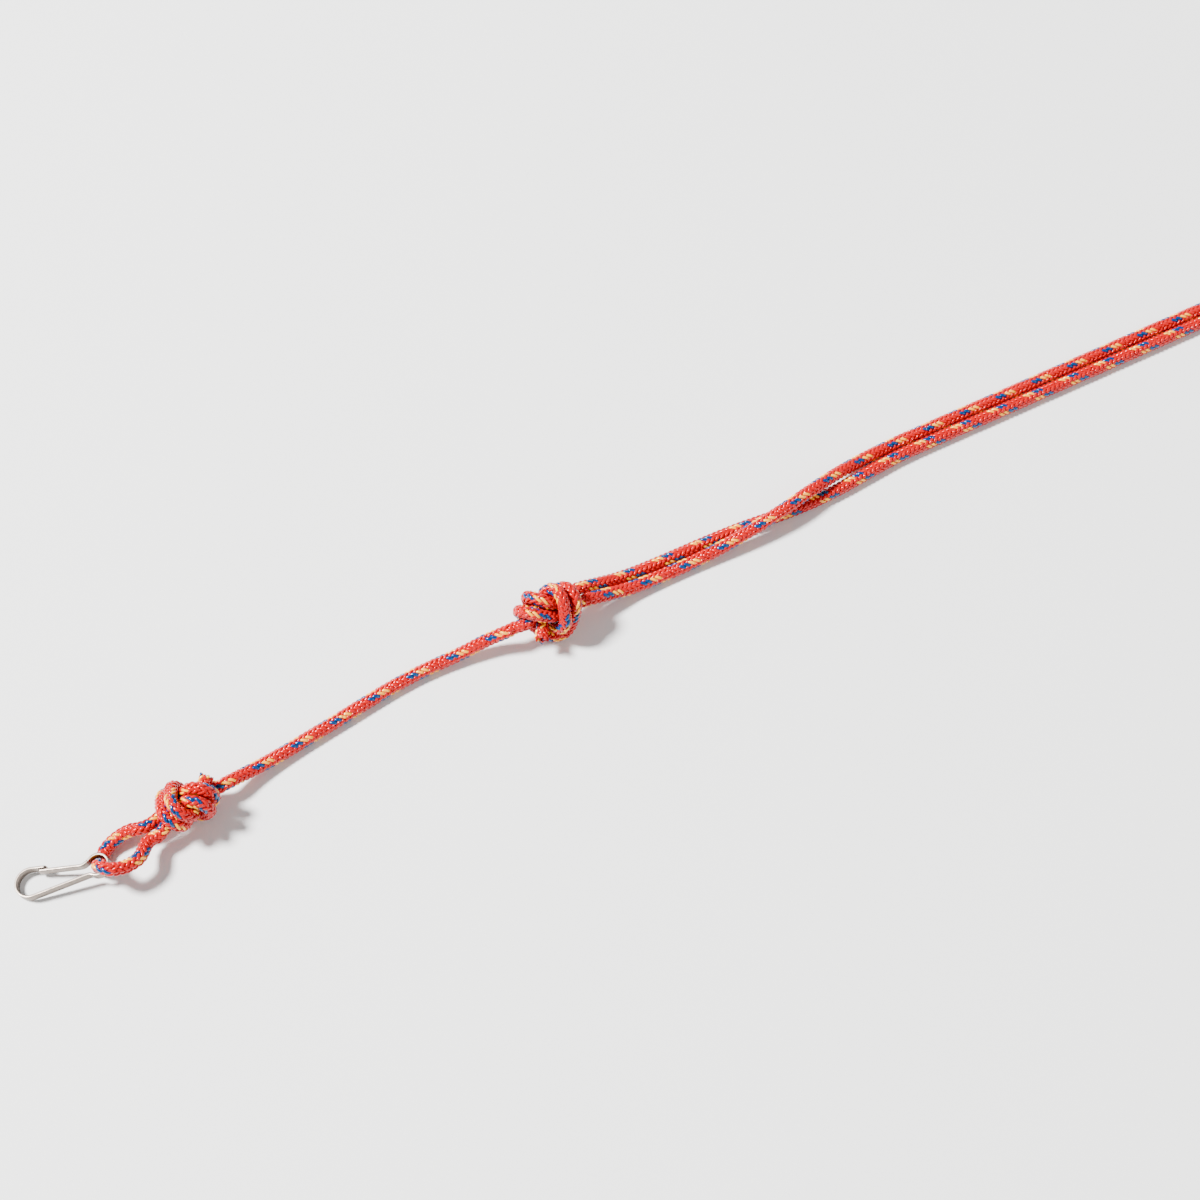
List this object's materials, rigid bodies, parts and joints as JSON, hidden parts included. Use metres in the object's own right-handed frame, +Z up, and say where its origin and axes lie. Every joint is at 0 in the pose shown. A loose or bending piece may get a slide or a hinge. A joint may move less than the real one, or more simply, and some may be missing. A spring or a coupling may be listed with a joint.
{
  "type": "lead rope",
  "caption": "Light lead rope of flecked braided cord: spring clip on a knotted loop, a single lead, and a long knotted hand loop that opens.",
  "frame": {"origin": "on the floor under the middle of the whole rope's box", "axes": "+X along the rope from the clip to the hand loop, +Z up from the surface that the rope lies on"},
  "size_m": [0.5194, 0.029, 0.0226],
  "materials": {
    "cord_cover": "glossy braided polypropylene yarn",
    "yarn_blue": "glossy blue fleck yarn",
    "yarn_yellow": "glossy cream yellow fleck yarn",
    "cord_core": "undyed filament core",
    "clip_steel": "nickel-plated strip",
    "gate_steel": "nickel-plated strip"
  },
  "bodies": {
    "junction_knot": {"junction_tail_cover": "cord_cover", "junction_tail_core": "cord_core", "junction_lead_cover": "cord_cover", "junction_lead_core": "cord_core"},
    "lead_1": {"lead_1_cover": "cord_cover", "lead_1_core": "cord_core"},
    "lead_2": {"lead_2_cover": "cord_cover", "lead_2_core": "cord_core"},
    "lead_3": {"lead_3_cover": "cord_cover", "lead_3_core": "cord_core"},
    "lead_4": {"lead_4_cover": "cord_cover", "lead_4_core": "cord_core"},
    "lead_5": {"lead_5_cover": "cord_cover", "lead_5_core": "cord_core"},
    "lead_6": {"lead_6_cover": "cord_cover", "lead_6_core": "cord_core"},
    "clip_knot": {"clip_knot_lead_cover": "cord_cover", "clip_knot_lead_core": "cord_core", "clip_knot_tail_cover": "cord_cover", "clip_knot_tail_core": "cord_core"},
    "clip_loop": {"clip_loop_cover": "cord_cover", "clip_loop_core": "cord_core"},
    "clip": {"clip_frame": "clip_steel"},
    "gate": {"clip_gate": "gate_steel"},
    "neck_start": {"neck_start_out_cover": "cord_cover", "neck_start_out_core": "cord_core", "neck_start_back_cover": "cord_cover", "neck_start_back_core": "cord_core"},
    "neck_crossing": {"neck_crossing_out_cover": "cord_cover", "neck_crossing_out_core": "cord_core", "neck_crossing_back_cover": "cord_cover", "neck_crossing_back_core": "cord_core"},
    "far_leg_1": {"far_leg_1_cover": "cord_cover", "far_leg_1_core": "cord_core"},
    "far_leg_2": {"far_leg_2_cover": "cord_cover", "far_leg_2_core": "cord_core"},
    "far_leg_3": {"far_leg_3_cover": "cord_cover", "far_leg_3_core": "cord_core"},
    "far_leg_4": {"far_leg_4_cover": "cord_cover", "far_leg_4_core": "cord_core"},
    "far_leg_bight": {"far_leg_bight_cover": "cord_cover", "far_leg_bight_core": "cord_core"},
    "near_leg_1": {"near_leg_1_cover": "cord_cover", "near_leg_1_core": "cord_core"},
    "near_leg_2": {"near_leg_2_cover": "cord_cover", "near_leg_2_core": "cord_core"},
    "near_leg_3": {"near_leg_3_cover": "cord_cover", "near_leg_3_core": "cord_core"},
    "near_leg_4": {"near_leg_4_cover": "cord_cover", "near_leg_4_core": "cord_core"},
    "near_leg_bight": {"near_leg_bight_cover": "cord_cover", "near_leg_bight_core": "cord_core"}
  },
  "joints": [
    {"name": "lead_bend_1", "type": "hinge", "parent": "junction_knot", "child": "lead_1", "pos_m": [-0.07156, 0.00644, 0.00961], "axis": [0, 0, 1], "range_deg": [-40, 40], "stiffness_Nm_per_rad": 0.0002},
    {"name": "lead_lift_2", "type": "hinge", "parent": "lead_1", "child": "lead_2", "pos_m": [-0.08924, 0.00973, 0.00403], "axis": [0, 1, 0], "range_deg": [-40, 40], "stiffness_Nm_per_rad": 0.0002},
    {"name": "lead_bend_3", "type": "hinge", "parent": "lead_2", "child": "lead_3", "pos_m": [-0.10831, 0.01104, 0.00268], "axis": [0, 0, 1], "range_deg": [-40, 40], "stiffness_Nm_per_rad": 0.0002},
    {"name": "lead_twist_4", "type": "hinge", "parent": "lead_3", "child": "lead_4", "pos_m": [-0.12747, 0.00989, 0.00258], "axis": [-0.9954, -0.0957, -0.0005], "range_deg": [-90, 90], "stiffness_Nm_per_rad": 0.0002},
    {"name": "lead_bend_5", "type": "hinge", "parent": "lead_4", "child": "lead_5", "pos_m": [-0.14658, 0.00812, 0.00263], "axis": [0, 0, 1], "range_deg": [-40, 40], "stiffness_Nm_per_rad": 0.0002},
    {"name": "lead_lift_6", "type": "hinge", "parent": "lead_5", "child": "lead_6", "pos_m": [-0.16567, 0.00625, 0.00342], "axis": [0, 1, 0], "range_deg": [-40, 40], "stiffness_Nm_per_rad": 0.0002},
    {"name": "clip_knot_bend", "type": "hinge", "parent": "lead_6", "child": "clip_knot", "pos_m": [-0.18426, 0.00414, 0.00718], "axis": [0, 0, 1], "range_deg": [-40, 40], "stiffness_Nm_per_rad": 0.0002},
    {"name": "clip_loop_lift", "type": "hinge", "parent": "clip_knot", "child": "clip_loop", "pos_m": [-0.21226, 0.00064, 0.00718], "axis": [0, 1, 0], "range_deg": [-40, 40], "stiffness_Nm_per_rad": 0.0002},
    {"name": "clip_swing", "type": "hinge", "parent": "clip_loop", "child": "clip", "pos_m": [-0.23226, -0.00146, 0.00637], "axis": [-0.0999, -0.2996, 0.9488], "range_deg": [-60, 60]},
    {"name": "gate_open", "type": "hinge", "parent": "clip", "child": "gate", "pos_m": [-0.2368, 0.00117, 0.00551], "axis": [-0.157, 0.051, 0.9863], "range_deg": [0, 14], "stiffness_Nm_per_rad": 0.005},
    {"name": "neck_lift", "type": "hinge", "parent": "junction_knot", "child": "neck_start", "pos_m": [-0.04356, 0.00644, 0.00961], "axis": [0, 1, 0], "range_deg": [-30, 30], "stiffness_Nm_per_rad": 0.0002},
    {"name": "neck_bend", "type": "hinge", "parent": "neck_start", "child": "neck_crossing", "pos_m": [-0.00256, 0.00415, 0.00257], "axis": [0, 0, 1], "range_deg": [-30, 30], "stiffness_Nm_per_rad": 0.0002},
    {"name": "far_leg_open_1", "type": "hinge", "parent": "neck_crossing", "child": "far_leg_1", "pos_m": [0.09458, 0.00739, 0.00257], "axis": [0, 0, 1], "range_deg": [0, 60], "stiffness_Nm_per_rad": 0.0002},
    {"name": "far_leg_open_2", "type": "hinge", "parent": "far_leg_1", "child": "far_leg_2", "pos_m": [0.12903, 0.00546, 0.00257], "axis": [0, 0, 1], "range_deg": [-40, 0], "stiffness_Nm_per_rad": 0.0002},
    {"name": "far_leg_open_3", "type": "hinge", "parent": "far_leg_2", "child": "far_leg_3", "pos_m": [0.16348, 0.00354, 0.00257], "axis": [0, 0, 1], "range_deg": [-40, 0], "stiffness_Nm_per_rad": 0.0002},
    {"name": "far_leg_open_4", "type": "hinge", "parent": "far_leg_3", "child": "far_leg_4", "pos_m": [0.19792, 0.00161, 0.00257], "axis": [0, 0, 1], "range_deg": [-40, 0], "stiffness_Nm_per_rad": 0.0002},
    {"name": "far_leg_bight_turn", "type": "hinge", "parent": "far_leg_4", "child": "far_leg_bight", "pos_m": [0.23237, -0.00032, 0.00257], "axis": [0, 0, 1], "range_deg": [0, 60], "stiffness_Nm_per_rad": 0.0002},
    {"name": "near_leg_open_1", "type": "hinge", "parent": "neck_crossing", "child": "near_leg_1", "pos_m": [0.09429, 0.0021, 0.00257], "axis": [0, 0, 1], "range_deg": [-60, 0], "stiffness_Nm_per_rad": 0.0002},
    {"name": "near_leg_open_2", "type": "hinge", "parent": "near_leg_1", "child": "near_leg_2", "pos_m": [0.12873, 0.00017, 0.00257], "axis": [0, 0, 1], "range_deg": [0, 40], "stiffness_Nm_per_rad": 0.0002},
    {"name": "near_leg_open_3", "type": "hinge", "parent": "near_leg_2", "child": "near_leg_3", "pos_m": [0.16318, -0.00176, 0.00257], "axis": [0, 0, 1], "range_deg": [0, 40], "stiffness_Nm_per_rad": 0.0002},
    {"name": "near_leg_open_4", "type": "hinge", "parent": "near_leg_3", "child": "near_leg_4", "pos_m": [0.19763, -0.00368, 0.00257], "axis": [0, 0, 1], "range_deg": [0, 40], "stiffness_Nm_per_rad": 0.0002},
    {"name": "near_leg_bight_turn", "type": "hinge", "parent": "near_leg_4", "child": "near_leg_bight", "pos_m": [0.23207, -0.00561, 0.00257], "axis": [0, 0, 1], "range_deg": [-60, 0], "stiffness_Nm_per_rad": 0.0002}
  ],
  "couplings": [
    {"joint": "far_leg_open_2", "follows": "far_leg_open_1", "ratio": -0.66667},
    {"joint": "far_leg_open_3", "follows": "far_leg_open_1", "ratio": -0.66667},
    {"joint": "far_leg_open_4", "follows": "far_leg_open_1", "ratio": -0.66667},
    {"joint": "far_leg_bight_turn", "follows": "far_leg_open_1", "ratio": 1},
    {"joint": "near_leg_open_1", "follows": "far_leg_open_1", "ratio": -1},
    {"joint": "near_leg_open_2", "follows": "far_leg_open_1", "ratio": 0.66667},
    {"joint": "near_leg_open_3", "follows": "far_leg_open_1", "ratio": 0.66667},
    {"joint": "near_leg_open_4", "follows": "far_leg_open_1", "ratio": 0.66667},
    {"joint": "near_leg_bight_turn", "follows": "far_leg_open_1", "ratio": -1}
  ]
}
